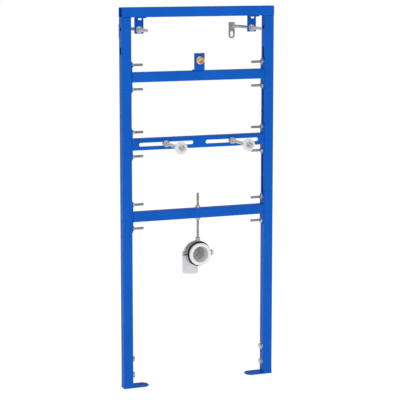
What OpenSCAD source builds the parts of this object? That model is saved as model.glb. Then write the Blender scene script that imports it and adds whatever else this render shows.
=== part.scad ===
// Installation frame for a wall-hung urinal: a welded tube portal with three bolted crossbars,
// wall rods, studs for the bowl, a water connection and a drain elbow in a pipe clamp.
// The origin is on the floor under the axis of the left upright. The front faces -Y, the wall is at +Y.

/* [Frame] */
// Overall width across both uprights
frame_w = 500; // [480:5:560]
// Overall height from the floor to the top of the top bar
frame_h = 1170; // [1150:5:1250]
// Outer side of the square tube
tube = 30; // [30:1:34]
// Wall of the square tube
tube_wall = 2; // [1.5:0.5:2.5]
// Outer corner radius of the square tube
tube_r = 3; // [2.5:0.5:4]

/* [Crossbars] */
// Depth of the upper crossbar's middle below the top of the frame
upper_bar_drop = 210; // [200:5:240]
// Distance from the upper crossbar down to the bar that carries the bowl studs
stud_bar_drop = 204; // [180:1:230]
// Distance from the stud bar down to the lower crossbar
lower_bar_drop = 222; // [200:1:240]
// Height of the folded channel that carries the bowl studs
stud_bar_h = 35; // [33:1:42]
// Sheet thickness of that channel
stud_bar_t = 2.5; // [2:0.5:3]
// Width of its two long slots
stud_slot_w = 11; // [10.6:0.2:13]
// Metal left between each slot and the end of the bar
stud_slot_edge = 19.5; // [15:0.5:40]
// Solid metal left between the two long slots
stud_slot_gap = 41; // [30:1:60]

/* [End plates] */
// Height of the plate at each end of a crossbar
plate_h = 100; // [98:1:120]
// Depth of that plate, front to back
plate_w = 26; // [22:1:28]
// Thickness of that plate
plate_t = 3; // [2.5:0.5:5]
// Distance between its two bolts
plate_pitch = 74; // [70:1:78]

/* [Slot bolts] */
// Thread diameter of the bolts that hold the crossbars
slot_bolt_d = 8; // [6:1:8]
// How far they stand out from the inner face of the upright
slot_bolt_out = 40.5; // [30:0.5:50]
// Length of their hammer head, along the slot
hammer_l = 20; // [18:1:22]
// Thickness of their hammer head
hammer_t = 4; // [3:0.5:5]
// Height of upright slot left below the lowest bolt
slot_below = 10; // [8:1:20]
// Height of upright slot left above the highest bolt
slot_above = 48; // [20:1:50]

/* [Upright holes] */
// Depth of the short outer slot's middle below the top of the frame
outer_slot_drop = 131; // [120:1:150]
// Length of the short slot in the outer face
outer_slot_len = 24; // [20:1:30]
// Width of the short slot in the outer face
outer_slot_w = 14; // [10:1:16]
// Diameter of the cross hole near the top of each upright
cross_hole_d = 12; // [8:1:12]
// Height of that cross hole below the top bar
cross_hole_drop = 36; // [25:1:50]

/* [Feet] */
// Length of the foot plate along the frame
foot_l = 84; // [75:1:100]
// Depth of the foot plate, front to back
foot_d = 42; // [40:1:60]
// Thickness of the foot plate
foot_t = 4; // [3:0.5:6]
// Corner cut of the foot plate
foot_cut = 12; // [6:1:14]
// Height of the square leg that stands inside the upright
leg_h = 130; // [115:1:200]
// Wall of that leg
leg_wall = 2; // [1.5:0.5:3]
// Height of the lower clamping bolt
foot_bolt_z = 39; // [32:1:45]
// Distance between the two clamping bolts
foot_bolt_pitch = 50; // [35:1:55]
// Thread diameter of the clamping bolts
foot_bolt_d = 10; // [8:1:10]
// Length of each clamping bolt inside the leg
foot_bolt_tip = 8; // [4:1:12]
// Diameter of the floor bolt hole
floor_hole_d = 11; // [8:0.5:13]
// Distance of the floor bolt hole from the outer end of the foot
floor_hole_x = 58; // [54:1:62]

/* [Hanger brackets] */
// Distance of the bracket's middle from the outer face of the frame
hanger_x = 64; // [58:1:90]
// Width of the bracket
hanger_w = 29; // [27:1:34]
// Length of its upright leg, below the top bar
hanger_drop = 50; // [48:1:60]
// Sheet thickness of the bracket
hanger_t = 3; // [2.5:0.5:4]
// Depth of its flat leg, under the top bar
hanger_d = 29; // [24:1:30]
// Width of the oblong hole below the bend
hanger_slot_w = 12; // [8:1:16]
// Height of that hole
hanger_slot_h = 5.5; // [4:0.5:7]
// Distance of that hole from the bracket's middle
hanger_slot_shift = 3; // [0:1:4]
// Metal left between that hole and the flat leg
hanger_slot_edge = 0.7; // [0.5:0.1:3]
// Depth of the rod below the top bar
rod_drop = 38; // [36:0.5:40]

/* [Wall rods] */
// Thread diameter of the rods to the wall and of the bowl studs
rod_d = 10; // [8:1:10]
// Clear depth between the back of the frame and the wall
wall_gap = 155; // [120:1:200]
// How far the rods stand out in front of the frame
rod_front = 40; // [25:1:60]
// Width of the wall bracket
bracket_w = 21; // [20:1:30]
// Height of the wall bracket
bracket_h = 52; // [46:1:70]
// Thickness of the wall bracket
bracket_t = 3; // [2.5:0.5:5]
// Width of the screw slot in the wall bracket
bracket_slot_w = 9.5; // [7:0.5:11]
// Length of that slot, end to end
bracket_slot_len = 18; // [14:1:19]
// Metal left below that slot
bracket_slot_edge = 5; // [4:0.5:7]
// Height of the bracket's top above the rod
bracket_top = 11.5; // [10:0.5:14]

/* [Bowl studs] */
// Distance between the two studs
stud_spacing = 220; // [180:1:240]
// How far the studs stand out in front of the frame
stud_front = 146; // [120:1:180]
// Diameter of the flange on each plastic sleeve
sleeve_flange_d = 39; // [34:1:44]
// Thickness of that flange
sleeve_flange_t = 5; // [3:0.5:7]
// Diameter of the hub behind it
sleeve_hub_d = 18; // [15:1:24]
// Length of that hub
sleeve_hub_l = 14; // [8:1:20]
// Width of the cone between flange and hub, beyond the hub
sleeve_cone = 2.5; // [1:0.5:4]
// Bare end of the stud, ahead of its nut
stud_end = 11; // [8:1:20]
// Length of the stud left behind its rear nut
stud_tail = 6; // [3:1:9]

/* [Water connection] */
// Height of the water connection above the upper crossbar
inlet_rise = 32; // [28:1:45]
// Width of its bracket
inlet_plate_w = 34; // [32:1:44]
// Height of its bracket
inlet_plate_h = 54; // [52:1:70]
// Sheet thickness of its bracket
inlet_plate_t = 3; // [2.5:0.5:4]
// Depth of the bracket's flat leg, on top of the crossbar
inlet_leg_d = 20; // [15:1:28]
// Diameter of the half-inch pipe thread
inlet_thread_d = 21; // [16:0.5:22]
// Bore of the fitting
inlet_bore_d = 15; // [11:0.5:15]
// How far the fitting stands out in front of the frame
inlet_front = 17; // [12:1:24]
// Diameter of its collar
inlet_collar_d = 24; // [23.5:0.5:28]
// Thickness of its collar
inlet_collar_t = 4; // [2:0.5:6]
// Width of the lock nut behind the bracket, across its flats
inlet_nut_w = 27; // [26:0.5:30]
// Thickness of that lock nut
inlet_nut_t = 6; // [4:0.5:8]
// Bare thread behind the lock nut
inlet_tail = 9; // [4:1:14]

/* [Drain] */
// Distance from the lower crossbar down to the axis of the drain socket
drain_drop = 128; // [110:1:150]
// Outer diameter of the drain pipe
drain_d = 50; // [50:1:56]
// Wall of the drain elbow
drain_wall = 2; // [1.8:0.2:3]
// Outer diameter of the drain socket
socket_d = 65.4; // [64:0.2:72]
// Wall of the drain socket
socket_wall = 2.6; // [2.2:0.2:3]
// Length of the drain socket
socket_l = 48; // [42:1:56]
// Length of the taper from socket to pipe
socket_taper = 7; // [5:1:10]
// Diameter of the rim of the seal
rim_d = 70; // [68:1:76]
// Thickness of the rim of the seal
rim_t = 8; // [5:0.5:10]
// Length of the seal inside the socket
seal_l = 34; // [26:1:38]
// How far the rim stands out in front of the frame
rim_front = 10; // [6:1:12]
// Bend radius of the elbow, on its axis
bend_r = 26; // [25.5:0.5:32]
// Straight length of the elbow's lower end
spigot_l = 48; // [40:1:70]

/* [Pipe clamp] */
// Width of the clamp band
band_w = 20; // [16:1:24]
// Thickness of the clamp band
band_t = 1.8; // [1.5:0.1:3]
// Thickness of the rubber lining
lining_t = 3.6; // [2.5:0.1:5]
// Length of each clamp lug
lug_l = 11; // [10:0.5:14]
// Gap between the lugs of the two halves
lug_gap = 4; // [2:0.5:6]
// Height of the threaded boss on top of the clamp
boss_h = 12; // [8:1:16]
// Thread diameter of the clamp screws
clamp_screw_d = 5; // [4:1:6]
// Length of each clamp screw below its nut
clamp_screw_tip = 1; // [0.5:0.5:5]
// Thread diameter of the hanging rod
drain_rod_d = 8; // [6:1:8]
// Length of rod left above the lower crossbar
drain_rod_up = 47; // [30:1:60]

/* [Hidden] */
$fn = 48;

blue = [0.06, 0.36, 0.75];
zinc = [0.68, 0.69, 0.70];
white = [0.90, 0.90, 0.90];
brass = [0.80, 0.62, 0.34];
black = [0.10, 0.10, 0.11];

// Clearances between pieces that fit
thread_gap = 0.1;
hole_gap = 0.5;
leg_gap = 0.4;
ring_gap = 0.1;
seal_gap = 0.3;
rod_end_gap = 1;
// Threaded ends that take an outside part are this much thinner all round, as a lead-in
lead_in = 0.25;
// Least inner corner radius of a square tube, and how far cutters reach past a face
least_r = 0.4;
cut = 1;

// Middle of the frame, and faces measured from there
mid_x = (frame_w - tube) / 2;
inner_x = frame_w / 2 - tube;
front_y = -tube / 2;
rear_y = tube / 2;
bar_half = inner_x - plate_t;
bar_under = frame_h - tube;

// Nuts, washers and heads follow the thread they fit
function nut_w(d) = 1.6 * d + 0.4;
function nut_h(d) = 0.8 * d;
function washer_w(d) = 2.1 * d;
function washer_h(d) = 0.2 * d;
function flange_w(d) = 2.2 * d;
function head_h(d) = 0.6 * d;
function round_head_w(d) = 1.8 * d;

// Heights, counted down from the top of the frame
upper_bar_z = frame_h - upper_bar_drop;
stud_bar_z = upper_bar_z - stud_bar_drop;
lower_bar_z = stud_bar_z - lower_bar_drop;
drain_z = lower_bar_z - drain_drop;
outer_slot_z = frame_h - outer_slot_drop;
bar_heights = [upper_bar_z, stud_bar_z, lower_bar_z];
bolt_heights = [for (z = bar_heights, s = [-1, 1]) z + s * plate_pitch / 2];
foot_bolt_heights = [foot_bolt_z, foot_bolt_z + foot_bolt_pitch];
slot_w = slot_bolt_d + 2;
slot_low = lower_bar_z - plate_pitch / 2 - slot_below;
slot_high = upper_bar_z + plate_pitch / 2 + slot_above;

rod_z = bar_under - rod_drop;
wall_y = rear_y + wall_gap;
hanger_front = rear_y - hanger_t;
hanger_mid = frame_w / 2 - hanger_x;
hanger_slot_z = bar_under - hanger_t - hanger_slot_edge - hanger_slot_h / 2;

stud_slot_len = bar_half - stud_slot_gap / 2 - stud_slot_edge;
stud_back = stud_bar_t + washer_h(rod_d) + nut_h(rod_d) + stud_tail;
sleeve_front = front_y - stud_front + stud_end + nut_h(rod_d);

inlet_z = upper_bar_z + tube / 2 + inlet_rise;
inlet_back = front_y + inlet_plate_t + inlet_nut_t + inlet_tail;

seal_front = front_y - rim_front;
socket_front = seal_front + rim_t;
socket_back = socket_front + socket_l;
bend_front = socket_back + socket_taper;
spigot_y = bend_front + bend_r;
spigot_top = drain_z - bend_r;
spigot_end = spigot_top - spigot_l;
socket_bore = socket_d - 2 * socket_wall;
lining_r = socket_d / 2 + ring_gap;
band_r = lining_r + lining_t + ring_gap;
lug_x = band_r + band_t + lug_l / 2;
lug_t = 2 * band_t;
boss_z = drain_z + band_r + band_t;
rod_bottom = boss_z + rod_end_gap;
rod_top = lower_bar_z + tube / 2 + drain_rod_up;

// Placing: pieces are modelled about the middle of the frame, the left one on the -X side
module at_mid() {
    translate([mid_x, 0, 0]) children();
}
module on_left() {
    at_mid() children();
}
module on_right() {
    at_mid() mirror([1, 0, 0]) children();
}
module both_sides() {
    on_left() children();
    on_right() children();
}

// Turning what is modelled along +Z
module along_y() {
    rotate([-90, 0, 0]) children();
}
module along_x() {
    rotate([0, 90, 0]) children();
}

// Flat outlines
module rounded_square(w, h, r) {
    square([w - 2 * r, h], center = true);
    square([w, h - 2 * r], center = true);
    for (sx = [-1, 1], sy = [-1, 1]) {
        translate([sx * (w / 2 - r), sy * (h / 2 - r)]) circle(r = r);
    }
}
module tube_outline(w, wall, r) {
    difference() {
        rounded_square(w, w, r);
        rounded_square(w - 2 * wall, w - 2 * wall, max(r - wall, least_r));
    }
}
module stadium(len, w) {
    square([len - w, w], center = true);
    for (s = [-1, 1]) {
        translate([s * (len - w) / 2, 0]) circle(d = w);
    }
}

// Fasteners along +Z, seated at z = 0
module hex(w, h) {
    cylinder(d = w / cos(30), h = h, $fn = 6);
}
module nut(d) {
    difference() {
        hex(nut_w(d), nut_h(d));
        translate([0, 0, -cut]) cylinder(d = d + 2 * thread_gap, h = nut_h(d) + 2 * cut);
    }
}
module washer(d) {
    difference() {
        cylinder(d = washer_w(d), h = washer_h(d));
        translate([0, 0, -cut]) cylinder(d = d + 2 * thread_gap, h = washer_h(d) + 2 * cut);
    }
}
module flange_nut(d) {
    difference() {
        union() {
            cylinder(d = flange_w(d), h = washer_h(d));
            hex(nut_w(d), nut_h(d));
        }
        translate([0, 0, -cut]) cylinder(d = d + 2 * thread_gap, h = nut_h(d) + 2 * cut);
    }
}

// Portal
module upright() {
    color(blue) difference() {
        translate([-inner_x - tube / 2, 0, foot_t]) {
            linear_extrude(bar_under - foot_t) tube_outline(tube, tube_wall, tube_r);
        }
        translate([-inner_x - tube_wall - cut, 0, (slot_low + slot_high) / 2]) {
            along_x() linear_extrude(tube_wall + 2 * cut) stadium(slot_high - slot_low, slot_w);
        }
        translate([-inner_x - tube - cut, 0, outer_slot_z]) {
            along_x() linear_extrude(tube_wall + 2 * cut) stadium(outer_slot_len, outer_slot_w);
        }
        translate([-inner_x - tube - cut, 0, bar_under - cross_hole_drop]) {
            along_x() cylinder(d = cross_hole_d, h = tube + 2 * cut);
        }
        for (z = foot_bolt_heights) {
            translate([-inner_x - tube_wall - cut, 0, z]) {
                along_x() cylinder(d = foot_bolt_d + hole_gap, h = tube_wall + 2 * cut);
            }
        }
    }
}
module left_upright() {
    on_left() upright();
}
module right_upright() {
    on_right() upright();
}
module top_bar() {
    color(blue) at_mid() translate([-frame_w / 2, 0, frame_h - tube / 2]) {
        along_x() linear_extrude(frame_w) tube_outline(tube, tube_wall, tube_r);
    }
}

// Crossbars
module tube_crossbar(z) {
    translate([-bar_half, 0, z]) {
        along_x() linear_extrude(2 * bar_half) tube_outline(tube, tube_wall, tube_r);
    }
}
module upper_crossbar() {
    color(blue) at_mid() tube_crossbar(upper_bar_z);
}
module lower_crossbar() {
    color(blue) at_mid() difference() {
        tube_crossbar(lower_bar_z);
        translate([0, 0, lower_bar_z - tube / 2 - cut]) {
            cylinder(d = drain_rod_d + hole_gap, h = tube + 2 * cut);
        }
    }
}
module stud_crossbar() {
    color(blue) at_mid() difference() {
        translate([-bar_half, front_y, stud_bar_z - stud_bar_h / 2]) {
            cube([2 * bar_half, tube, stud_bar_h]);
        }
        translate([-bar_half - cut, front_y + stud_bar_t, stud_bar_z - stud_bar_h / 2 + stud_bar_t]) {
            cube([2 * (bar_half + cut), tube, stud_bar_h - 2 * stud_bar_t]);
        }
        for (s = [-1, 1]) {
            translate([s * (stud_slot_gap + stud_slot_len) / 2, front_y - cut, stud_bar_z]) {
                along_y() linear_extrude(stud_bar_t + 2 * cut) stadium(stud_slot_len, stud_slot_w);
            }
        }
    }
}
module end_plate(z) {
    translate([-inner_x, 0, z]) along_x() linear_extrude(plate_t) difference() {
        stadium(plate_h, plate_w);
        for (s = [-1, 1]) {
            translate([s * plate_pitch / 2, 0]) circle(d = slot_bolt_d + hole_gap);
        }
    }
}
module end_plates(z) {
    color(blue) both_sides() end_plate(z);
}

// Bolts and nuts that clamp the end plates to the uprights
module slot_bolts() {
    head_x = -inner_x - tube_wall - hammer_t;
    color(zinc) for (z = bolt_heights) {
        translate([head_x, 0, z]) {
            along_x() cylinder(d = slot_bolt_d, h = tube_wall + hammer_t + slot_bolt_out);
            intersection() {
                along_x() cylinder(d = hammer_l, h = hammer_t);
                translate([0, -hammer_l / 2, -slot_bolt_d / 2]) cube([hammer_t, hammer_l, slot_bolt_d]);
            }
        }
    }
}
module slot_nuts() {
    color(zinc) for (z = bolt_heights) {
        translate([-inner_x + plate_t, 0, z]) along_x() flange_nut(slot_bolt_d);
    }
}

// Feet
module foot() {
    leg_w = tube - 2 * tube_wall - 2 * leg_gap;
    leg_r = max(tube_r - tube_wall - leg_gap, least_r);
    color(blue) difference() {
        union() {
            translate([-frame_w / 2, front_y, 0]) linear_extrude(foot_t) polygon([
                [0, 0],
                [foot_l - foot_cut, 0],
                [foot_l, foot_cut],
                [foot_l, foot_d - foot_cut],
                [foot_l - foot_cut, foot_d],
                [foot_cut, foot_d],
                [0, foot_d - foot_cut]
            ]);
            translate([-inner_x - tube / 2, 0, foot_t]) {
                linear_extrude(leg_h) tube_outline(leg_w, leg_wall, leg_r);
            }
        }
        translate([-frame_w / 2 + floor_hole_x, front_y + foot_d / 2, -cut]) {
            cylinder(d = floor_hole_d, h = foot_t + 2 * cut);
        }
        for (z = foot_bolt_heights) {
            translate([-inner_x - tube / 2, 0, z]) {
                along_x() cylinder(d = foot_bolt_d + 2 * thread_gap, h = tube);
            }
        }
    }
}
module foot_bolts() {
    tip = tube_wall + leg_gap + leg_wall + foot_bolt_tip;
    seat = washer_h(foot_bolt_d);
    color(zinc) for (z = foot_bolt_heights) {
        translate([-inner_x - tip, 0, z]) along_x() cylinder(d = foot_bolt_d, h = tip + seat);
        translate([-inner_x + seat, 0, z]) along_x() hex(nut_w(foot_bolt_d), head_h(foot_bolt_d));
    }
}
module foot_bolt_washers() {
    color(zinc) for (z = foot_bolt_heights) {
        translate([-inner_x, 0, z]) along_x() washer(foot_bolt_d);
    }
}

// Hanger brackets under the top bar, two of the same piece
module hanger_bracket(x) {
    color(blue) at_mid() translate([x, 0, 0]) difference() {
        union() {
            translate([-hanger_w / 2, hanger_front, bar_under - hanger_drop]) {
                cube([hanger_w, hanger_t, hanger_drop]);
            }
            translate([-hanger_w / 2, rear_y - hanger_d, bar_under - hanger_t]) {
                cube([hanger_w, hanger_d, hanger_t]);
            }
        }
        translate([0, hanger_front - cut, rod_z]) {
            along_y() cylinder(d = rod_d + hole_gap, h = hanger_t + 2 * cut);
        }
        translate([hanger_slot_shift, hanger_front - cut, hanger_slot_z]) {
            along_y() linear_extrude(hanger_t + 2 * cut) stadium(hanger_slot_w, hanger_slot_h);
        }
    }
}

// Rods, nuts and brackets to the wall
module wall_rod() {
    color(zinc) translate([-hanger_mid, front_y - rod_front, rod_z]) {
        along_y() cylinder(d = rod_d, h = wall_y - front_y + rod_front - hole_gap);
    }
}
module rod_nuts() {
    color(zinc) translate([-hanger_mid, 0, rod_z]) {
        translate([0, hanger_front - washer_h(rod_d) - nut_h(rod_d), 0]) along_y() nut(rod_d);
        translate([0, rear_y + washer_h(rod_d), 0]) along_y() nut(rod_d);
        translate([0, wall_y - bracket_t - nut_h(rod_d), 0]) along_y() nut(rod_d);
    }
}
module rod_washers() {
    color(zinc) translate([-hanger_mid, 0, rod_z]) {
        translate([0, hanger_front - washer_h(rod_d), 0]) along_y() washer(rod_d);
        translate([0, rear_y, 0]) along_y() washer(rod_d);
    }
}
module wall_bracket() {
    slot_z = bracket_top - bracket_h + bracket_slot_edge + bracket_slot_len / 2;
    color(zinc) translate([-hanger_mid, wall_y - bracket_t, rod_z]) difference() {
        union() {
            translate([-bracket_w / 2, 0, bracket_top - bracket_h + bracket_w / 2]) {
                cube([bracket_w, bracket_t, bracket_h - bracket_w / 2]);
            }
            translate([0, 0, bracket_top - bracket_h + bracket_w / 2]) {
                along_y() cylinder(d = bracket_w, h = bracket_t);
            }
        }
        translate([0, -cut, 0]) along_y() cylinder(d = rod_d + 2 * thread_gap, h = bracket_t + 2 * cut);
        translate([0, -cut, slot_z]) rotate([0, 90, 0]) along_y() {
            linear_extrude(bracket_t + 2 * cut) stadium(bracket_slot_len, bracket_slot_w);
        }
    }
}

// Studs that carry the bowl
module stud() {
    color(zinc) translate([-stud_spacing / 2, front_y - stud_front, stud_bar_z]) along_y() {
        cylinder(d = rod_d - 2 * lead_in, h = stud_end);
        translate([0, 0, stud_end]) cylinder(d = rod_d, h = stud_front + stud_back - stud_end);
    }
}
module stud_nut_set() {
    color(zinc) translate([-stud_spacing / 2, 0, stud_bar_z]) {
        translate([0, front_y - washer_h(rod_d) - nut_h(rod_d), 0]) along_y() nut(rod_d);
        translate([0, front_y + stud_bar_t + washer_h(rod_d), 0]) along_y() nut(rod_d);
        translate([0, sleeve_front - nut_h(rod_d), 0]) along_y() nut(rod_d);
    }
}
module stud_washer_set() {
    color(zinc) translate([-stud_spacing / 2, 0, stud_bar_z]) {
        translate([0, front_y - washer_h(rod_d), 0]) along_y() washer(rod_d);
        translate([0, front_y + stud_bar_t, 0]) along_y() washer(rod_d);
    }
}
module stud_sleeve() {
    color(white) translate([-stud_spacing / 2, sleeve_front, stud_bar_z]) along_y() difference() {
        union() {
            cylinder(d = sleeve_flange_d, h = sleeve_flange_t);
            translate([0, 0, sleeve_flange_t]) {
                cylinder(d1 = sleeve_hub_d + 2 * sleeve_cone, d2 = sleeve_hub_d, h = sleeve_cone);
            }
            cylinder(d = sleeve_hub_d, h = sleeve_flange_t + sleeve_hub_l);
        }
        translate([0, 0, -cut]) {
            cylinder(d = rod_d + 2 * thread_gap, h = sleeve_flange_t + sleeve_hub_l + 2 * cut);
        }
    }
}

// Water connection on top of the upper crossbar
module inlet_bracket() {
    foot_z = upper_bar_z + tube / 2;
    color(blue) at_mid() difference() {
        union() {
            translate([-inlet_plate_w / 2, front_y, foot_z]) {
                cube([inlet_plate_w, inlet_plate_t, inlet_plate_h]);
            }
            translate([-inlet_plate_w / 2, front_y, foot_z]) {
                cube([inlet_plate_w, inlet_leg_d, inlet_plate_t]);
            }
        }
        translate([0, front_y - cut, inlet_z]) {
            along_y() cylinder(d = inlet_thread_d + hole_gap, h = inlet_plate_t + 2 * cut);
        }
    }
}
module inlet_fitting() {
    color(brass) at_mid() translate([0, 0, inlet_z]) difference() {
        union() {
            translate([0, front_y - inlet_front, 0]) along_y() {
                cylinder(d = inlet_thread_d, h = inlet_front + inlet_plate_t + inlet_nut_t);
                cylinder(d = inlet_thread_d - 2 * lead_in, h = inlet_front - front_y + inlet_back);
            }
            translate([0, front_y - inlet_collar_t, 0]) {
                along_y() cylinder(d = inlet_collar_d, h = inlet_collar_t);
            }
        }
        translate([0, front_y - inlet_front - cut, 0]) {
            along_y() cylinder(d = inlet_bore_d, h = inlet_front - front_y + inlet_back + 2 * cut);
        }
    }
}
module inlet_lock_nut() {
    color(brass) at_mid() translate([0, front_y + inlet_plate_t, inlet_z]) along_y() difference() {
        hex(inlet_nut_w, inlet_nut_t);
        translate([0, 0, -cut]) cylinder(d = inlet_thread_d + 2 * thread_gap, h = inlet_nut_t + 2 * cut);
    }
}

// Hanging rod of the drain
module drain_rod() {
    color(zinc) at_mid() translate([0, 0, rod_bottom]) {
        cylinder(d = drain_rod_d, h = rod_top - rod_bottom);
    }
}
module drain_rod_nuts() {
    step = tube / 2 + washer_h(drain_rod_d);
    color(zinc) at_mid() {
        translate([0, 0, lower_bar_z + step]) nut(drain_rod_d);
        translate([0, 0, lower_bar_z - step - nut_h(drain_rod_d)]) nut(drain_rod_d);
    }
}
module drain_rod_washers() {
    color(zinc) at_mid() {
        translate([0, 0, lower_bar_z + tube / 2]) washer(drain_rod_d);
        translate([0, 0, lower_bar_z - tube / 2 - washer_h(drain_rod_d)]) washer(drain_rod_d);
    }
}

// Pipe clamp round the drain socket
module half_band(up) {
    lug_z = up ? lug_gap / 2 : -lug_gap / 2 - lug_t;
    translate([0, -band_w / 2, drain_z]) difference() {
        union() {
            along_y() cylinder(r = band_r + band_t, h = band_w);
            for (m = [0, 1]) {
                mirror([m, 0, 0]) translate([band_r, 0, lug_z]) cube([band_t + lug_l, band_w, lug_t]);
            }
        }
        translate([0, -cut, 0]) along_y() cylinder(r = band_r, h = band_w + 2 * cut);
        translate([-2 * band_r, -cut, up ? lug_gap / 2 - 2 * band_r : -lug_gap / 2]) {
            cube([4 * band_r, band_w + 2 * cut, 2 * band_r]);
        }
        for (m = [0, 1]) {
            mirror([m, 0, 0]) translate([lug_x, band_w / 2, lug_z - cut]) {
                cylinder(d = clamp_screw_d + 2 * thread_gap, h = lug_t + 2 * cut);
            }
        }
    }
}
module clamp_upper_half() {
    color(zinc) at_mid() {
        difference() {
            union() {
                half_band(true);
                translate([0, 0, boss_z - band_t]) hex(nut_w(drain_rod_d), boss_h + band_t);
            }
            translate([0, -band_w / 2 - cut, drain_z]) {
                along_y() cylinder(r = band_r, h = band_w + 2 * cut);
            }
            translate([0, 0, boss_z]) {
                cylinder(d = drain_rod_d + 2 * thread_gap, h = boss_h + cut);
            }
        }
    }
}
module clamp_lower_half() {
    color(zinc) at_mid() half_band(false);
}
module clamp_lining() {
    color(black) at_mid() translate([0, -band_w / 2, drain_z]) along_y() difference() {
        cylinder(r = lining_r + lining_t, h = band_w);
        translate([0, 0, -cut]) cylinder(r = lining_r, h = band_w + 2 * cut);
    }
}
module clamp_screws() {
    top = lug_gap / 2 + lug_t;
    tail = top + nut_h(clamp_screw_d) + clamp_screw_tip;
    color(zinc) at_mid() for (m = [0, 1]) {
        mirror([m, 0, 0]) translate([lug_x, 0, drain_z]) {
            translate([0, 0, -tail]) cylinder(d = clamp_screw_d, h = tail + top);
            translate([0, 0, top]) cylinder(d = round_head_w(clamp_screw_d), h = head_h(clamp_screw_d));
            translate([0, 0, -top - nut_h(clamp_screw_d)]) hex(nut_w(clamp_screw_d), nut_h(clamp_screw_d));
        }
    }
}

// Drain elbow and its seal. The same shape, drawn with smaller radii, hollows the elbow out.
module elbow_shape(socket_r, pipe_r, extra) {
    translate([0, socket_front - extra, drain_z]) along_y() cylinder(r = socket_r, h = socket_l + extra);
    translate([0, socket_back, drain_z]) along_y() cylinder(r1 = socket_r, r2 = pipe_r, h = socket_taper);
    translate([0, bend_front, spigot_top]) rotate([90, 0, 90]) {
        rotate_extrude(angle = 90) translate([bend_r, 0]) circle(r = pipe_r);
    }
    translate([0, spigot_y, spigot_end - extra]) cylinder(r = pipe_r, h = spigot_l + extra);
}
module drain_elbow() {
    color(white) at_mid() difference() {
        elbow_shape(socket_d / 2, drain_d / 2, 0);
        elbow_shape(socket_bore / 2, drain_d / 2 - drain_wall, cut);
    }
}
module drain_seal() {
    color(white) at_mid() translate([0, seal_front, drain_z]) along_y() difference() {
        union() {
            cylinder(d = rim_d, h = rim_t);
            cylinder(d = socket_bore - 2 * ring_gap, h = rim_t + seal_l);
        }
        translate([0, 0, -cut]) cylinder(d = drain_d + 2 * seal_gap, h = rim_t + seal_l + 2 * cut);
    }
}

left_upright();
right_upright();
top_bar();
upper_crossbar();
end_plates(upper_bar_z);  // upper_end_plates
stud_crossbar();
end_plates(stud_bar_z);  // stud_end_plates
lower_crossbar();
end_plates(lower_bar_z);  // lower_end_plates
on_left() slot_bolts();  // left_slot_bolts
on_right() slot_bolts();  // right_slot_bolts
on_left() slot_nuts();  // left_slot_nuts
on_right() slot_nuts();  // right_slot_nuts
on_left() foot();  // left_foot
on_right() foot();  // right_foot
on_left() foot_bolts();  // left_foot_bolts
on_right() foot_bolts();  // right_foot_bolts
both_sides() foot_bolt_washers();  // foot_washers
hanger_bracket(-hanger_mid);  // left_hanger_bracket
hanger_bracket(hanger_mid);  // right_hanger_bracket
on_left() wall_rod();  // left_wall_rod
on_right() wall_rod();  // right_wall_rod
both_sides() rod_nuts();  // wall_rod_nuts
both_sides() rod_washers();  // wall_rod_washers
on_left() wall_bracket();  // left_wall_bracket
on_right() wall_bracket();  // right_wall_bracket
on_left() stud();  // left_stud
on_right() stud();  // right_stud
both_sides() stud_nut_set();  // stud_nuts
both_sides() stud_washer_set();  // stud_washers
on_left() stud_sleeve();  // left_stud_sleeve
on_right() stud_sleeve();  // right_stud_sleeve
inlet_bracket();
inlet_fitting();
inlet_lock_nut();
drain_rod();
drain_rod_nuts();
drain_rod_washers();
clamp_upper_half();
clamp_lower_half();
clamp_lining();
clamp_screws();
drain_elbow();
drain_seal();
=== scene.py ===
"""Installation frame for a wall-hung urinal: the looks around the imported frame.

Lengths are in millimetres and are turned into metres when a piece is made.
The origin is on the floor under the axis of the left upright, the front faces -Y, the wall is at +Y.
"""

import math
import random

import bmesh
import bpy
from mathutils import Matrix, Vector


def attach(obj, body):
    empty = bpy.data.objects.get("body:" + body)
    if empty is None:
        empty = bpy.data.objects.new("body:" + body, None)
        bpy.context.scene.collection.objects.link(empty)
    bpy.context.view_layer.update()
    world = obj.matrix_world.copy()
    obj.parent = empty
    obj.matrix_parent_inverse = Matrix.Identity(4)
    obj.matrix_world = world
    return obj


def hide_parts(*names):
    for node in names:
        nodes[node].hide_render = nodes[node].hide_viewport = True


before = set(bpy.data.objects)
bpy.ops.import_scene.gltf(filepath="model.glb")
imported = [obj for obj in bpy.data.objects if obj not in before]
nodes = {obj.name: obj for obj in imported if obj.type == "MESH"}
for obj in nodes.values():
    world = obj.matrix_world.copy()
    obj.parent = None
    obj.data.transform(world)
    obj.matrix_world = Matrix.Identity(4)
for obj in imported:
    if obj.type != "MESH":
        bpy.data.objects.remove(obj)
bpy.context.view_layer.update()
MM = 0.001

# Places shared with the part's source
MID_X = 235.0
FRONT_Y = -15.0
REAR_Y = 15.0
INNER_X = 15.0
BAR_UNDER = 1140.0
BOLT_HEIGHTS = (997.0, 923.0, 793.0, 719.0, 571.0, 497.0)
FOOT_BOLT_HEIGHTS = (39.0, 89.0)
ROD_X = (49.0, 421.0)
ROD_Z = 1102.0
WALL_Y = 170.0
STUD_X = (125.0, 345.0)
STUD_Z = 756.0
INLET_Z = 1007.0
LOWER_BAR_Z = 534.0
DRAIN_Z = 406.0
SPIGOT_Y = 64.0


# ---------------------------------------------------------------- materials


def shader(name, base, roughness, metallic=0.0, specular=0.5, **inputs):
    """A Principled material with its fixed numbers on the shader's own sockets."""
    material = bpy.data.materials.new(name)
    material.use_nodes = True
    tree = material.node_tree
    principled = tree.nodes["Principled BSDF"]
    principled.inputs["Base Color"].default_value = (*base, 1)
    principled.inputs["Roughness"].default_value = roughness
    principled.inputs["Metallic"].default_value = metallic
    principled.inputs["Specular IOR Level"].default_value = specular
    for key, value in inputs.items():
        principled.inputs[key.replace("_", " ")].default_value = value
    return material


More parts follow.
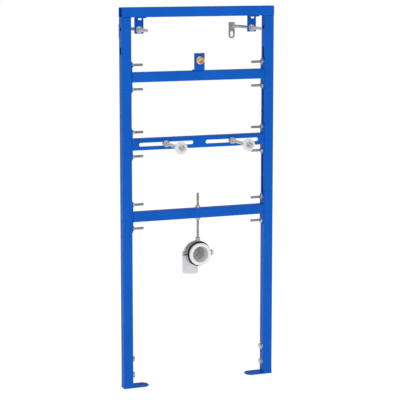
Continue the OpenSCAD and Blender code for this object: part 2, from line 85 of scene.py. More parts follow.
def noise(tree, scale, detail=3.0, stretch=(1, 1, 1)):
    """Noise in the row frame. The scale is in repeats a metre."""
    place = tree.nodes.new("ShaderNodeTexCoord")
    mapping = tree.nodes.new("ShaderNodeMapping")
    mapping.inputs["Scale"].default_value = stretch
    texture = tree.nodes.new("ShaderNodeTexNoise")
    texture.inputs["Scale"].default_value = scale
    texture.inputs["Detail"].default_value = detail
    tree.links.new(place.outputs["Object"], mapping.inputs["Vector"])
    tree.links.new(mapping.outputs["Vector"], texture.inputs["Vector"])
    return texture.outputs["Fac"]


def vary_colour(material, dark, light, scale, low=0.3, high=0.7, **options):
    """Mottles the base colour between two tones."""
    tree = material.node_tree
    ramp = tree.nodes.new("ShaderNodeValToRGB")
    ramp.color_ramp.elements[0].position = low
    ramp.color_ramp.elements[0].color = (*dark, 1)
    ramp.color_ramp.elements[1].position = high
    ramp.color_ramp.elements[1].color = (*light, 1)
    tree.links.new(noise(tree, scale, **options), ramp.inputs["Fac"])
    tree.links.new(ramp.outputs["Color"], tree.nodes["Principled BSDF"].inputs["Base Color"])


def vary_roughness(material, low, high, scale, **options):
    """Lets the roughness wander between two values."""
    tree = material.node_tree
    spread = tree.nodes.new("ShaderNodeMapRange")
    spread.inputs["From Min"].default_value = 0.3
    spread.inputs["From Max"].default_value = 0.7
    spread.inputs["To Min"].default_value = low
    spread.inputs["To Max"].default_value = high
    tree.links.new(noise(tree, scale, **options), spread.inputs["Value"])
    tree.links.new(spread.outputs["Result"], tree.nodes["Principled BSDF"].inputs["Roughness"])


def add_bump(material, scale, depth_mm, strength=1.0, **options):
    """A fine relief of the surface."""
    tree = material.node_tree
    bump = tree.nodes.new("ShaderNodeBump")
    bump.inputs["Strength"].default_value = strength
    bump.inputs["Distance"].default_value = depth_mm * MM
    tree.links.new(noise(tree, scale, **options), bump.inputs["Height"])
    tree.links.new(bump.outputs["Normal"], tree.nodes["Principled BSDF"].inputs["Normal"])


def powder_coat():
    material = shader("blue_powder_coat", (0.001, 0.103, 0.52), 0.42, specular=0.1)
    vary_colour(material, (0.0005, 0.096, 0.495), (0.0015, 0.110, 0.545), 9, detail=2)
    vary_roughness(material, 0.36, 0.5, 60)
    add_bump(material, 700, 0.05, 0.35, detail=2)
    return material


def zinc_plate(name, dark, light, rough):
    material = shader(name, light, rough, metallic=1.0)
    vary_colour(material, dark, light, 90, detail=4)
    vary_roughness(material, rough - 0.08, rough + 0.1, 220)
    add_bump(material, 1500, 0.02, 0.4, detail=3)
    return material


def turned_brass():
    material = shader("turned_brass", (0.78, 0.52, 0.24), 0.3, metallic=1.0)
    vary_colour(material, (0.70, 0.44, 0.18), (0.84, 0.58, 0.29), 120)
    vary_roughness(material, 0.24, 0.38, 300)
    add_bump(material, 500, 0.03, 0.4, stretch=(0.2, 6, 0.2))
    return material


def moulded_plastic(name, dark, light, rough):
    material = shader(
        name, light, rough, specular=0.4, Subsurface_Weight=0.15, Subsurface_Scale=0.004
    )
    vary_colour(material, dark, light, 45, detail=2)
    vary_roughness(material, rough - 0.06, rough + 0.08, 90)
    add_bump(material, 900, 0.03, 0.25, detail=2)
    return material


def soft_rubber(name, dark, light, rough):
    material = shader(name, light, rough, specular=0.3)
    vary_colour(material, dark, light, 80, detail=4)
    vary_roughness(material, rough - 0.08, rough + 0.08, 150)
    add_bump(material, 1200, 0.05, 0.4)
    return material


BLUE = powder_coat()
ZINC = zinc_plate("zinc_plate", (0.42, 0.42, 0.41), (0.56, 0.56, 0.55), 0.34)
ZINC_SHEET = zinc_plate("zinc_sheet", (0.36, 0.36, 0.36), (0.50, 0.50, 0.50), 0.42)
BRASS = turned_brass()
WHITE = moulded_plastic("white_plastic", (0.74, 0.74, 0.74), (0.80, 0.80, 0.80), 0.38)
SEAL = soft_rubber("white_seal", (0.80, 0.80, 0.80), (0.86, 0.86, 0.86), 0.5)
RUBBER = soft_rubber("black_rubber", (0.012, 0.012, 0.013), (0.03, 0.03, 0.032), 0.62)


# ---------------------------------------------------------------- making pieces


def make_piece(name, bm, material, replaced=(), bevel=0.0, smooth=35.0):
    """Turns a bmesh in millimetres into a piece of the object that stands for CAD nodes."""
    bmesh.ops.recalc_face_normals(bm, faces=bm.faces)
    bm.transform(Matrix.Scale(MM, 4))
    mesh = bpy.data.meshes.new(name)
    bm.to_mesh(mesh)
    bm.free()
    mesh.polygons.foreach_set("use_smooth", [True] * len(mesh.polygons))
    mesh.set_sharp_from_angle(angle=math.radians(smooth))
    mesh.materials.append(material)
    piece = bpy.data.objects.new(name, mesh)
    bpy.context.scene.collection.objects.link(piece)
    if bevel:
        edges = piece.modifiers.new("soft_edges", "BEVEL")
        edges.width = bevel * MM
        edges.segments = 2
        edges.limit_method = "ANGLE"
        edges.angle_limit = math.radians(40)
        edges.harden_normals = True
    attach(piece, "root")
    if replaced:
        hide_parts(*replaced)
    return piece


def along(axis, x, y, z, turn=0.0):
    """A matrix that carries what is modelled along +Z to a place, pointing along an axis."""
    point = {
        "+x": Matrix.Rotation(math.pi / 2, 4, "Y"),
        "-x": Matrix.Rotation(-math.pi / 2, 4, "Y"),
        "+y": Matrix.Rotation(-math.pi / 2, 4, "X"),
        "-y": Matrix.Rotation(math.pi / 2, 4, "X"),
        "+z": Matrix.Identity(4),
        "-z": Matrix.Rotation(math.pi, 4, "X"),
    }[axis]
    return Matrix.Translation((x, y, z)) @ point @ Matrix.Rotation(math.radians(turn), 4, "Z")


def loft(bm, rings, place, closed=False):
    """Joins rings of equal point counts. Closed joins the last ring to the first, else both ends are capped."""
    rows = [[bm.verts.new(place @ Vector(p)) for p in ring] for ring in rings]
    count = len(rows[0])
    pairs = list(zip(rows, rows[1:]))
    if closed:
        pairs.append((rows[-1], rows[0]))
    for a, b in pairs:
        for i in range(count):
            j = (i + 1) % count
            bm.faces.new((a[i], a[j], b[j], b[i]))
    if not closed:
        bm.faces.new(rows[0][::-1])
        bm.faces.new(rows[-1])


def circle(radius, z, count=48):
    return [
        (radius * math.cos(t), radius * math.sin(t), z)
        for t in (2 * math.pi * i / count for i in range(count))
    ]


def hexagon(width, z, chamfer_r=None, down=False, count=48):
    """The outline of a hexagon across its flats. With chamfer_r its height drops outside that radius."""
    points = []
    for i in range(count):
        t = 2 * math.pi * i / count
        radius = width / 2 / math.cos((t + math.pi / 6) % (math.pi / 3) - math.pi / 6)
        drop = 0.0 if chamfer_r is None else max(0.0, radius - chamfer_r) * math.tan(math.radians(30))
        height = z + drop if down else z - drop
        points.append((radius * math.cos(t), radius * math.sin(t), height))
    return points


def turned(bm, profile, place, count=48, closed=True):
    """A solid of revolution from (radius, height) points."""
    loft(bm, [circle(r, z, count) for r, z in profile], place, closed)


# Thread profiles: share of the pitch and share of the depth
THREAD_STEPS = ((0.0, 0.0), (0.35, 1.0), (0.52, 1.0), (0.87, 0.0))


def threaded(bm, radius, pitch, length, place, count=20, bore=None, tips=(True, True)):
    """A rod with a real helical thread along +Z, chamfered at its ends, hollow where it has a bore."""
    depth = 0.6 * pitch
    core = radius - depth
    steps = len(THREAD_STEPS)

    def limit(z):
        lead = core - 0.15 * pitch
        room = []
        if tips[0]:
            room.append(lead + z)
        if tips[1]:
            room.append(lead + length - z)
        return min(room) if room else radius

    columns = []
    for i in range(count):
        angle = 2 * math.pi * i / count
        column = {}
        for g in range(-2 * steps, int(length / pitch + 3) * steps):
            turn, k = divmod(g, steps)
            z = pitch * (turn + THREAD_STEPS[k][0] + i / count)
            if 0.02 * pitch < z < length - 0.02 * pitch:
                r = min(core + depth * THREAD_STEPS[k][1], limit(z))
                column[g] = bm.verts.new(place @ Vector((r * math.cos(angle), r * math.sin(angle), z)))
        ends = []
        for z in (0.0, length):
            r = min(core, limit(z))
            ends.append(bm.verts.new(place @ Vector((r * math.cos(angle), r * math.sin(angle), z))))
        columns.append((column, ends))
    for i in range(count):
        a, a_ends = columns[i]
        b, b_ends = columns[(i + 1) % count]
        shift = steps if i == count - 1 else 0
        shared = sorted(g for g in a if g + shift in b)
        for g in shared[:-1]:
            bm.faces.new((a[g], b[g + shift], b[g + 1 + shift], a[g + 1]))
        first, last = shared[0], shared[-1]
        low_a = [a[g] for g in sorted(a) if g < first]
        low_b = [b[g] for g in sorted(b) if g - shift < first]
        bm.faces.new([a_ends[0], b_ends[0], *low_b, b[first + shift], a[first], *reversed(low_a)])
        high_a = [a[g] for g in sorted(a) if g > last]
        high_b = [b[g] for g in sorted(b) if g - shift > last]
        bm.faces.new([a_ends[1], *reversed(high_a), a[last], b[last + shift], *high_b, b_ends[1]])
    bottom = [ends[0] for _, ends in columns]
    top = [ends[1] for _, ends in columns]
    if bore is None:
        bm.faces.new(bottom[::-1])
        bm.faces.new(top)
        return
    inner = [
        [bm.verts.new(place @ Vector(p)) for p in circle(r, z, count)]
        for r, z in ((bore + 0.8, 0.0), (bore, 0.8), (bore, length - 0.8), (bore + 0.8, length))
    ]
    rows = [bottom, *inner, top]
    for low, high in zip(rows, rows[1:]):
        for i in range(count):
            j = (i + 1) % count
            bm.faces.new((low[i], high[i], high[j], low[j]))


def nut(bm, d, place, width=None, height=None, bore=None, both=True):
    """A hexagon nut with chamfered corners and a countersunk bore, seated at z = 0."""
    width = width or 1.6 * d + 0.4
    height = height or 0.8 * d
    bore = bore or d / 2 + 0.1
    flat = 0.475 * width
    sink = 0.06 * d
    rings = [
        circle(bore, sink),
        circle(bore + sink, 0),
        circle(flat, 0),
        hexagon(width, 0, flat if both else None, down=True),
        hexagon(width, height, flat),
        circle(flat, height),
        circle(bore + sink, height),
        circle(bore, height - sink),
    ]
    loft(bm, rings, place, closed=True)


def washer(bm, d, place, outer=None, height=None):
    """A stamped washer: the edge is rounded on one side."""
    outer = outer or 1.05 * d
    height = height or 0.2 * d
    bore = d / 2 + 0.1
    soft = 0.25 * height
    profile = [
        (bore, soft),
        (bore + soft, 0),
        (outer - 0.4 * soft, 0),
        (outer, 0.4 * soft),
        (outer, height - soft),
        (outer - 0.4 * soft, height - 0.3 * soft),
        (outer - soft, height),
        (bore + soft, height),
        (bore, height - soft),
    ]
    turned(bm, profile, place)


def flange_nut(bm, d, place):
    """A hexagon nut in one piece with its sloping flange."""
    bore = d / 2 + 0.1
    width = 1.6 * d + 0.4
    height = 0.8 * d
    flat = 0.475 * width
    sink = 0.06 * d
    flange = 1.1 * d
    rings = [
        circle(bore, sink),
        circle(bore + sink, 0),
        circle(flange - 0.3, 0),
        circle(flange, 0.3),
        circle(flange, 0.09 * d),
        circle(flange - 0.4, 0.14 * d),
        hexagon(width + 0.3, 0.24 * d),
        hexagon(width, 0.3 * d),
        hexagon(width, height, flat),
        circle(flat, height),
        circle(bore + sink, height),
        circle(bore, height - sink),
    ]
    loft(bm, rings, place, closed=True)


def bolt_head(bm, d, place, height=None):
    """A hexagon head with a washer face below and a chamfered top, seated at z = 0."""
    width = 1.6 * d + 0.4
    height = height or 0.6 * d
    flat = 0.475 * width
    rings = [
        circle(0.2, 0),
        circle(flat, 0),
        circle(flat, 0.25),
        hexagon(width, 0.25),
        hexagon(width, height, flat),
        circle(flat, height),
        circle(flat - 1.2, height - 0.25),
        circle(0.2, height - 0.25),
    ]
    loft(bm, rings, place)


def prism(outline, depth, place, bm=None):
    """An outline in the XY plane pushed along +Z."""
    bm = bm or bmesh.new()
    rings = [[(x, y, z) for x, y in outline] for z in (0, depth)]
    loft(bm, rings, place)
    return bm


def stadium(length, width, count=12, upright=False):
    """A slot's outline about the origin, along X or along Y."""
    r = width / 2
    half = length / 2 - r
    points = []
    for side in (1, -1):
        for i in range(count + 1):
            t = math.pi * i / count - math.pi / 2
            points.append((side * (half + r * math.cos(t)), side * r * math.sin(t)))
    if upright:
        points = [(-y, x) for x, y in points]
    return points


def cut_away(bm, cutters):
    """Cuts solids out of a solid with exact booleans."""
    base = bpy.data.meshes.new("cut_base")
    bmesh.ops.recalc_face_normals(bm, faces=bm.faces)
    bm.to_mesh(base)
    bm.free()
    base_object = bpy.data.objects.new("cut_base", base)
    bpy.context.scene.collection.objects.link(base_object)
    tools = []
    for cutter in cutters:
        mesh = bpy.data.meshes.new("cutter")
        bmesh.ops.recalc_face_normals(cutter, faces=cutter.faces)
        cutter.to_mesh(mesh)
        cutter.free()
        tool = bpy.data.objects.new("cutter", mesh)
        bpy.context.scene.collection.objects.link(tool)
        tools.append(tool)
        step = base_object.modifiers.new("cut", "BOOLEAN")
        step.operation = "DIFFERENCE"
        step.solver = "EXACT"
        step.object = tool
    graph = bpy.context.evaluated_depsgraph_get()
    result = bpy.data.meshes.new_from_object(base_object.evaluated_get(graph))
    out = bmesh.new()
    out.from_mesh(result)
    for extra in [base_object, *tools]:
        bpy.data.objects.remove(extra)
    bmesh.ops.remove_doubles(out, verts=out.verts, dist=0.002)
    return out


def sheet_bend(path, thickness, width, place, bend=2.0, steps=6):
    """A bent strip: path is the outer line in the XY plane, the metal lies to its left, width runs along +Z."""
    outer, inner = [], []
    for i, p in enumerate(path):
        point = Vector(p)
        if i in (0, len(path) - 1):
            other = Vector(path[1] if i == 0 else path[-2])
            run = (other - point) if i == 0 else (point - other)
            normal = Vector((-run.y, run.x)).normalized()
            outer.append(point)
            inner.append(point + normal * thickness)
            continue
        before = (point - Vector(path[i - 1])).normalized()
        after = (Vector(path[i + 1]) - point).normalized()
        turn = math.atan2(before.cross(after), before.dot(after))
        side = 1 if turn > 0 else -1
        r_outer = bend + thickness if side > 0 else bend
        trim = r_outer * math.tan(abs(turn) / 2)
        normal = Vector((-before.y, before.x))
        centre = point - before * trim + normal * side * r_outer
        for k in range(steps + 1):
            angle = turn * k / steps
            arm = -normal * side
            c, s = math.cos(angle), math.sin(angle)
            arm = Vector((arm.x * c - arm.y * s, arm.x * s + arm.y * c))
            outer.append(centre + arm * r_outer)
            inner.append(centre + arm * (r_outer - side * thickness))
    outline = [(v.x, v.y) for v in outer] + [(v.x, v.y) for v in reversed(inner)]
    return prism(outline, width, place)


def soften(node, width, name=None, extra=None):
    """A copy of a CAD node's own shape, with its sheet edges rounded off."""
    bm = bmesh.new()
    bm.from_mesh(nodes[node].data)
    bm.transform(Matrix.Scale(1 / MM, 4))
    bmesh.ops.remove_doubles(bm, verts=bm.verts, dist=0.002)
    bmesh.ops.dissolve_limit(bm, angle_limit=math.radians(0.5), verts=bm.verts, edges=bm.edges)
    return make_piece(name or node + "_coated", bm, BLUE, [node], bevel=width, smooth=30)


# ---------------------------------------------------------------- portal, crossbars and feet

for node in ("left_upright", "right_upright", "top_bar", "upper_crossbar", "lower_crossbar"):
    soften(node, 0.5)
for node in ("upper_end_plates", "stud_end_plates", "lower_end_plates", "left_foot", "right_foot"):
    soften(node, 0.6)


def stud_bar():
    """The folded channel with its two long slots, open to the rear."""
    half_h = 17.5
    low_x, high_x = 18.0, 452.0
    path = [(REAR_Y, -half_h), (FRONT_Y, -half_h), (FRONT_Y, half_h), (REAR_Y, half_h)]
    path.reverse()
    place = Matrix.Translation((low_x, 0, STUD_Z)) @ Matrix(
        ((0, 0, 1, 0), (1, 0, 0, 0), (0, 1, 0, 0), (0, 0, 0, 1))
    )
    bm = sheet_bend(path, 2.5, high_x - low_x, place, bend=1.5)
    slots = [
        prism(stadium(177, 11, upright=False), 10, along("+y", x, FRONT_Y - 3, STUD_Z))
        for x in (126.0, 344.0)
    ]
    bm = cut_away(bm, slots)
    make_piece("stud_channel", bm, BLUE, ["stud_crossbar"], bevel=0.4)


stud_bar()


# ---------------------------------------------------------------- brackets


def hanger_bracket(x, name, node):
    """A bent tab welded under the top bar, with the rod's hole and an oblong hole."""
    path = [(REAR_Y, BAR_UNDER - 50), (REAR_Y, BAR_UNDER), (REAR_Y - 29, BAR_UNDER)]
    place = Matrix.Translation((x - 14.5, 0, 0)) @ Matrix(
        ((0, 0, 1, 0), (1, 0, 0, 0), (0, 1, 0, 0), (0, 0, 0, 1))
    )
    bm = sheet_bend(path, 3, 29, place, bend=0.6)
    hole = prism([p[:2] for p in circle(5.25, 0, 32)], 9, along("+y", x, REAR_Y - 6, ROD_Z))
    oblong = prism(stadium(12, 5.5), 9, along("+y", x + 3, REAR_Y - 6, 1133.55))
    bm = cut_away(bm, [hole, oblong])
    make_piece(name, bm, BLUE, [node], bevel=0.5)


hanger_bracket(ROD_X[0], "left_hanger_tab", "left_hanger_bracket")
hanger_bracket(ROD_X[1], "right_hanger_tab", "right_hanger_bracket")


def inlet_plate():
    """The bent plate on the upper crossbar that holds the water connection."""
    foot_z = 975.0
    path = [(FRONT_Y + 20, foot_z), (FRONT_Y, foot_z), (FRONT_Y, foot_z + 54)]
    path.reverse()
    place = Matrix.Translation((MID_X - 17, 0, 0)) @ Matrix(
        ((0, 0, 1, 0), (1, 0, 0, 0), (0, 1, 0, 0), (0, 0, 0, 1))
    )
    bm = sheet_bend(path, 3, 34, place, bend=1.5)
    hole = prism([p[:2] for p in circle(10.75, 0, 48)], 9, along("+y", MID_X, FRONT_Y - 3, INLET_Z))
    bm = cut_away(bm, [hole])
    make_piece("inlet_plate", bm, BLUE, ["inlet_bracket"], bevel=0.5)


inlet_plate()


def wall_plate(x, name, node):
    """A flat zinc plate at the wall: square on top, round below, with a hole and a screw slot."""
    half, top, low = 10.5, 1113.5, 1072.0
    outline = [(half, top), (-half, top)]
    for i in range(25):
        t = math.pi + math.pi * i / 24
        outline.append((half * math.cos(t), low + half * math.sin(t)))
    place = Matrix.Translation((x, WALL_Y, 0)) @ Matrix.Rotation(math.pi / 2, 4, "X")
    bm = prism(outline, 3, place)
    hole = prism([p[:2] for p in circle(5.1, 0, 32)], 9, along("+y", x, WALL_Y - 6, ROD_Z))
    slot = prism(stadium(18, 9.5, upright=True), 9, along("+y", x, WALL_Y - 6, 1075.5))
    bm = cut_away(bm, [hole, slot])
    make_piece(name, bm, ZINC_SHEET, [node], bevel=0.4)


wall_plate(ROD_X[0], "left_wall_plate", "left_wall_bracket")
wall_plate(ROD_X[1], "right_wall_plate", "right_wall_bracket")


# ---------------------------------------------------------------- threaded rods and fasteners

draw = random.Random(7)


def spin():
    """A free turn for a nut or a bolt."""
    return draw.uniform(0, 60)


def slot_bolt(bm, axis, x, z):
    """A hammer-head bolt from inside the upright, with its thread along +X or -X."""
    sign = 1 if axis == "+x" else -1
    threaded(bm, 4, 1.25, 42.5, along(axis, x + sign * 4, 0, z), tips=(False, True))
    outline = []
    for side in (1, -1):
        for i in range(9):
            t = math.asin(0.4) * (i / 4 - 1)
            outline.append((side * 10 * math.sin(math.pi / 2 - t), side * 10 * math.sin(t)))
    shape = [(px, py) for px, py in outline]
    rings = [
        [(0.95 * px, 0.9 * py, 0) for px, py in shape],
        [(px, py, 0.5) for px, py in shape],
        [(px, py, 4) for px, py in shape],
    ]
    loft(bm, rings, along(axis, x, 0, z, 90))


for side, axis, x in (("left", "+x", 9.0), ("right", "-x", 461.0)):
    bm = bmesh.new()
    for z in BOLT_HEIGHTS:
        slot_bolt(bm, axis, x, z)
    make_piece(side + "_hammer_bolts", bm, ZINC, [side + "_slot_bolts"])
    bm = bmesh.new()
    seat = INNER_X + 3 if side == "left" else 470 - INNER_X - 3
    for z in BOLT_HEIGHTS:
        flange_nut(bm, 8, along(axis, seat, 0, z, spin()))
    make_piece(side + "_flange_nuts", bm, ZINC, [side + "_slot_nuts"])

for side, axis, seat in (("left", "+x", INNER_X), ("right", "-x", 470 - INNER_X)):
    bm = bmesh.new()
    sign = 1 if axis == "+x" else -1
    for z in FOOT_BOLT_HEIGHTS:
        turn = spin()
        threaded(bm, 5, 1.5, 14.4, along(axis, seat - sign * 12.4, 0, z), tips=(True, False))
        bolt_head(bm, 10, along(axis, seat + sign * 2, 0, z, turn))
    make_piece(side + "_clamping_bolts", bm, ZINC, [side + "_foot_bolts"])
bm = bmesh.new()
for z in FOOT_BOLT_HEIGHTS:
    washer(bm, 10, along("+x", INNER_X, 0, z))
    washer(bm, 10, along("-x", 470 - INNER_X, 0, z))
make_piece("clamping_washers", bm, ZINC, ["foot_washers"])

for side, x in zip(("left", "right"), ROD_X):
    bm = bmesh.new()
    threaded(bm, 5, 1.5, 224.5, along("+y", x, FRONT_Y - 40, ROD_Z))
    make_piece(side + "_threaded_rod", bm, ZINC, [side + "_wall_rod"])
bm = bmesh.new()
for x in ROD_X:
    nut(bm, 10, along("+y", x, 2, ROD_Z, spin()))
    nut(bm, 10, along("+y", x, 17, ROD_Z, spin()))
    nut(bm, 10, along("+y", x, 159, ROD_Z, spin()))
make_piece("rod_hex_nuts", bm, ZINC, ["wall_rod_nuts"])
bm = bmesh.new()
for x in ROD_X:
    washer(bm, 10, along("-y", x, 12, ROD_Z))
    washer(bm, 10, along("+y", x, 15, ROD_Z))
make_piece("rod_flat_washers", bm, ZINC, ["wall_rod_washers"])

for side, x in zip(("left", "right"), STUD_X):
    bm = bmesh.new()
    threaded(bm, 5, 1.5, 164.5, along("+y", x, FRONT_Y - 146, STUD_Z))
    make_piece(side + "_bowl_stud", bm, ZINC, [side + "_stud"])
bm = bmesh.new()
for x in STUD_X:
    nut(bm, 10, along("+y", x, -25, STUD_Z, spin()))
    nut(bm, 10, along("+y", x, -10.5, STUD_Z, 30))
    nut(bm, 10, along("+y", x, -150, STUD_Z, spin()))
make_piece("stud_hex_nuts", bm, ZINC, ["stud_nuts"])
bm = bmesh.new()
for x in STUD_X:
    washer(bm, 10, along("-y", x, -15, STUD_Z))
    washer(bm, 10, along("+y", x, -12.5, STUD_Z))
make_piece("stud_flat_washers", bm, ZINC, ["stud_washers"])


def sleeve(x, name, node):
    """A flanged plastic bush: a disc with a raised rim, a cone and a hub."""
    bore = 5.1
    profile = [
        (bore, 0.6),
        (bore + 0.6, 0),
        (9.2, 0),
        (9.6, 0.35),
        (17.4, 0.35),
        (17.9, 0),
        (18.8, 0),
        (19.3, 0.25),
        (19.5, 0.8),
        (19.5, 4.3),
        (19.2, 4.8),
        (18.6, 5.0),
        (12.3, 5.0),
        (11.7, 5.1),
        (11.1, 5.5),
        (9.6, 7.0),
        (9.1, 7.7),
        (9.0, 8.5),
        (9.0, 18.4),
        (8.8, 18.8),
        (8.4, 19.0),
        (bore + 0.5, 19.0),
        (bore, 18.5),
    ]
    bm = bmesh.new()
    turned(bm, profile, along("+y", x, -142, STUD_Z), count=64)
    make_piece(name, bm, WHITE, [node])


sleeve(STUD_X[0], "left_flanged_bush", "left_stud_sleeve")
sleeve(STUD_X[1], "right_flanged_bush", "right_stud_sleeve")


# ---------------------------------------------------------------- water connection


def water_connection():
    """A brass nipple with pipe threads front and rear and a collar against the plate."""
    bm = bmesh.new()
    threaded(bm, 10.5, 1.814, 13.2, along("+y", MID_X, FRONT_Y - 17, INLET_Z), 48, bore=7.5, tips=(True, False))
    threaded(bm, 10.5, 1.814, 18.2, along("-y", MID_X, 3, INLET_Z), 48, bore=7.5, tips=(True, False))
    collar = [
        (7.5, 0),
        (11.4, 0),
        (11.9, 0.3),
        (12.0, 0.7),
        (12.0, 3.6),
        (11.6, 4.0),
        (7.5, 4.0),
    ]
    turned(bm, collar, along("+y", MID_X, FRONT_Y - 4, INLET_Z))
    make_piece("brass_connection", bm, BRASS, ["inlet_fitting"])
    bm = bmesh.new()
    nut(bm, 21, along("+y", MID_X, -12, INLET_Z, 12), width=27, height=6, bore=10.6)
    make_piece("brass_lock_nut", bm, BRASS, ["inlet_lock_nut"])


water_connection()


# ---------------------------------------------------------------- drain

bm = bmesh.new()
threaded(bm, 4, 1.25, 150.7, along("+z", MID_X, 0, 445.3))
make_piece("drain_threaded_rod", bm, ZINC, ["drain_rod"])
bm = bmesh.new()
nut(bm, 8, along("+z", MID_X, 0, 550.6, spin()))
nut(bm, 8, along("+z", MID_X, 0, 511.0, spin()))
make_piece("drain_hex_nuts", bm, ZINC, ["drain_rod_nuts"])
bm = bmesh.new()
washer(bm, 8, along("+z", MID_X, 0, 549))
washer(bm, 8, along("-z", MID_X, 0, 519))
make_piece("drain_flat_washers", bm, ZINC, ["drain_rod_washers"])


def clamp_half(up):
    """Half of the clamp's band with its lugs, drawn as a strip bent round the drain's axis."""
    inner, outer = 36.5, 38.3
    sign = 1 if up else -1
    gap, lug_end, lug_t, fillet = 2.0, 49.3, 3.6, 1.2
    start = math.asin((gap + lug_t + fillet) / outer)
    outline = [(outer * math.cos(start + (math.pi - 2 * start) * i / 48),
                outer * math.sin(start + (math.pi - 2 * start) * i / 48)) for i in range(49)]
    outline += [(-outer - fillet, gap + lug_t), (-lug_end + 0.8, gap + lug_t), (-lug_end, gap + lug_t - 0.8),
                (-lug_end, gap)]
    low = math.asin(gap / inner)
    outline += [(-inner * math.cos(low + (math.pi - 2 * low) * i / 48),
                 inner * math.sin(low + (math.pi - 2 * low) * i / 48)) for i in range(49)]
    outline += [(lug_end, gap), (lug_end, gap + lug_t - 0.8), (lug_end - 0.8, gap + lug_t),
                (outer + fillet, gap + lug_t)]
    outline = [(px, sign * py) for px, py in outline]
    place = Matrix.Translation((MID_X, 10, DRAIN_Z)) @ Matrix.Rotation(math.pi / 2, 4, "X")
    bm = prism(outline, 20, place)
    holes = [
        prism([p[:2] for p in circle(2.6, 0, 24)], 12, along("+z", MID_X + s * 43.8, 0, DRAIN_Z + sign * 4 - 6))
        for s in (-1, 1)
    ]
    return cut_away(bm, holes)


bm = clamp_half(True)
boss = bmesh.new()
nut(boss, 8, along("+z", MID_X, 0, DRAIN_Z + 37.6, 20), height=12.7)
boss_mesh = bpy.data.meshes.new("boss")
boss.to_mesh(boss_mesh)
boss.free()
bm.from_mesh(boss_mesh)
make_piece("clamp_band_upper", bm, ZINC_SHEET, ["clamp_upper_half"], bevel=0.4)
make_piece("clamp_band_lower", clamp_half(False), ZINC_SHEET, ["clamp_lower_half"], bevel=0.4)

bm = bmesh.new()
lining = [
    (32.8, 0.6), (33.4, 0), (36.0, -1.4), (38.4, -1.4), (39.0, -0.9), (39.0, 0), (38.45, 0),
    (36.4, 0), (36.4, 20), (38.45, 20), (39.0, 20), (39.0, 20.9), (38.4, 21.4), (36.0, 21.4), (33.4, 20), (32.8, 19.4),
]
turned(bm, lining, along("+y", MID_X, -10, DRAIN_Z), count=72)
make_piece("clamp_rubber", bm, RUBBER, ["clamp_lining"])

bm = bmesh.new()
for s in (-1, 1):
    x = MID_X + s * 43.8
    threaded(bm, 2.5, 0.8, 16.2, along("+z", x, 0, DRAIN_Z - 10.6), 16, tips=(True, False))
    head = [(0.15, 0), (4.4, 0), (4.5, 0.3), (4.4, 1.7), (3.9, 2.5), (3.0, 3.0), (1.6, 3.0), (1.3, 1.4), (0.15, 1.4)]
    turned(bm, head, along("+z", x, 0, DRAIN_Z + 5.6), count=32, closed=False)
    nut(bm, 5, along("+z", x, 0, DRAIN_Z - 9.6, spin()))
make_piece("clamp_fasteners", bm, ZINC, ["clamp_screws"])


def elbow():
    """The drain elbow: a socket with a bead, a taper, a tight bend and a chamfered spigot."""
    count = 72
    rings = []

    def straight(r, y):
        rings.append([(MID_X + r * math.cos(t), y, DRAIN_Z + r * math.sin(t))
                      for t in (2 * math.pi * i / count for i in range(count))])

    def bend(r, angle):
        for_angle = math.radians(angle)
        ring = []
        for i in range(count):
            t = 2 * math.pi * i / count
            arm = 26 + r * math.sin(t)
            ring.append((MID_X + r * math.cos(t), 38 + arm * math.sin(for_angle),
                         DRAIN_Z - 26 + arm * math.cos(for_angle)))
        rings.append(ring)

    def down(r, z):
        rings.append([(MID_X + r * math.cos(t), SPIGOT_Y + r * math.sin(t), z)
                      for t in (2 * math.pi * i / count for i in range(count))])

    outer_socket, outer_pipe = 32.7, 25.0
    inner_socket, inner_pipe = 30.1, 23.0
    for r, y in ((32.2, -17), (32.7, -16.5), (32.7, 29.6), (32.4, 30.8), (31.6, 31.9), (26.2, 37.2), (25.3, 37.8)):
        straight(r, y)
    for angle in range(0, 91, 6):
        bend(outer_pipe, angle)
    for r, z in ((25.0, 379), (25.0, 337), (24.7, 335), (23.9, 332.4), (23.6, 332), (23.2, 332), (23.0, 332.3)):
        down(r, z)
    for angle in range(90, -1, -6):
        bend(inner_pipe, angle)
    for r, y in ((23.3, 37.6), (29.4, 31.4), (30.0, 30.4), (30.1, 29), (30.1, -16.6), (30.5, -17)):
        straight(r, y)
    bm = bmesh.new()
    loft(bm, rings, Matrix.Identity(4), closed=True)
    make_piece("drain_elbow_pipe", bm, WHITE, ["drain_elbow"])


elbow()

bm = bmesh.new()
seal = [
    (25.3, 0.8), (25.9, 0.0), (27.2, -0.0), (33.2, 0.0), (34.3, 0.3), (34.9, 1.1), (35.0, 2.0),
    (35.0, 6.6), (34.7, 7.6), (33.8, 8.0), (30.0, 8.0), (30.0, 40.6), (29.4, 42.0), (26.6, 42.0),
    (25.7, 41.2), (25.4, 36.5), (26.4, 35.0), (26.4, 31.0), (25.4, 29.0), (25.4, 26.5), (26.4, 25.0),
    (26.4, 19.0), (25.4, 17.0), (25.4, 14.5), (26.4, 13.0), (26.4, 8.0), (25.4, 6.0),
]
turned(bm, seal, along("+y", MID_X, -25, DRAIN_Z), count=72)
make_piece("lipped_seal", bm, SEAL, ["drain_seal"])


# ---------------------------------------------------------------- floor, light and camera


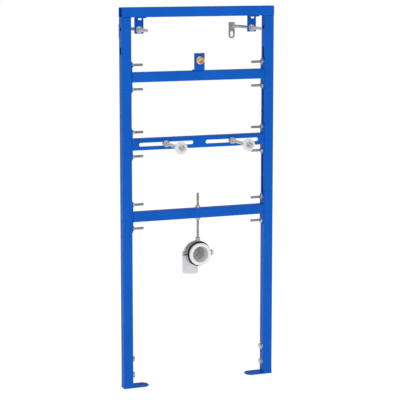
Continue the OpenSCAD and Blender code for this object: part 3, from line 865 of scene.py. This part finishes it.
def studio():
    floor_mesh = bpy.data.meshes.new("floor")
    bm = bmesh.new()
    bmesh.ops.create_circle(bm, cap_ends=True, radius=14, segments=96)
    bm.transform(Matrix.Translation((0.235, 0, -0.0004)))
    bm.to_mesh(floor_mesh)
    bm.free()
    paint = shader("pale_floor", (0.9, 0.9, 0.9), 0.9, specular=0.0)
    paint.node_tree.nodes["Principled BSDF"].inputs["Emission Color"].default_value = (1, 1, 1, 1)
    paint.node_tree.nodes["Principled BSDF"].inputs["Emission Strength"].default_value = 0.55
    floor_mesh.materials.append(paint)
    floor = bpy.data.objects.new("floor", floor_mesh)
    bpy.context.scene.collection.objects.link(floor)

    world = bpy.data.worlds.new("studio")
    bpy.context.scene.world = world
    world.use_nodes = True
    tree = world.node_tree
    background = tree.nodes["Background"]
    background.inputs["Color"].default_value = (1, 1, 1, 1)
    background.inputs["Strength"].default_value = 0.5
    seen = tree.nodes.new("ShaderNodeBackground")
    seen.inputs["Color"].default_value = (1, 1, 1, 1)
    seen.inputs["Strength"].default_value = 1.0
    path = tree.nodes.new("ShaderNodeLightPath")
    mix = tree.nodes.new("ShaderNodeMixShader")
    tree.links.new(path.outputs["Is Camera Ray"], mix.inputs["Fac"])
    tree.links.new(background.outputs["Background"], mix.inputs[1])
    tree.links.new(seen.outputs["Background"], mix.inputs[2])
    tree.links.new(mix.outputs["Shader"], tree.nodes["World Output"].inputs["Surface"])

    def lamp(name, place, aim, size, power):
        light = bpy.data.lights.new(name, "AREA")
        light.size = size
        light.energy = power
        lamp_object = bpy.data.objects.new(name, light)
        lamp_object.location = place
        lamp_object.rotation_euler = (Vector(aim) - Vector(place)).to_track_quat("-Z", "Y").to_euler()
        bpy.context.scene.collection.objects.link(lamp_object)

    lamp("key", (0.2, -4.5, 3.2), (0.235, 0, 0.6), 3.0, 60)
    lamp("left_fill", (-4.0, -2.0, 2.0), (0.235, 0, 0.6), 3.0, 20)

    camera_data = bpy.data.cameras.new("camera")
    camera_data.lens = 138.53
    camera_data.sensor_width = 36
    camera_data.shift_y = -0.05
    camera_data.clip_end = 100
    camera = bpy.data.objects.new("camera", camera_data)
    camera.location = (-1.549, -4.364, 1.312)
    camera.rotation_euler = (math.radians(90 - 8.16), 0, math.radians(-22.319))
    bpy.context.scene.collection.objects.link(camera)
    bpy.context.scene.camera = camera
    bpy.context.scene.view_settings.view_transform = "Standard"
    bpy.context.scene.view_settings.look = "None"


studio()
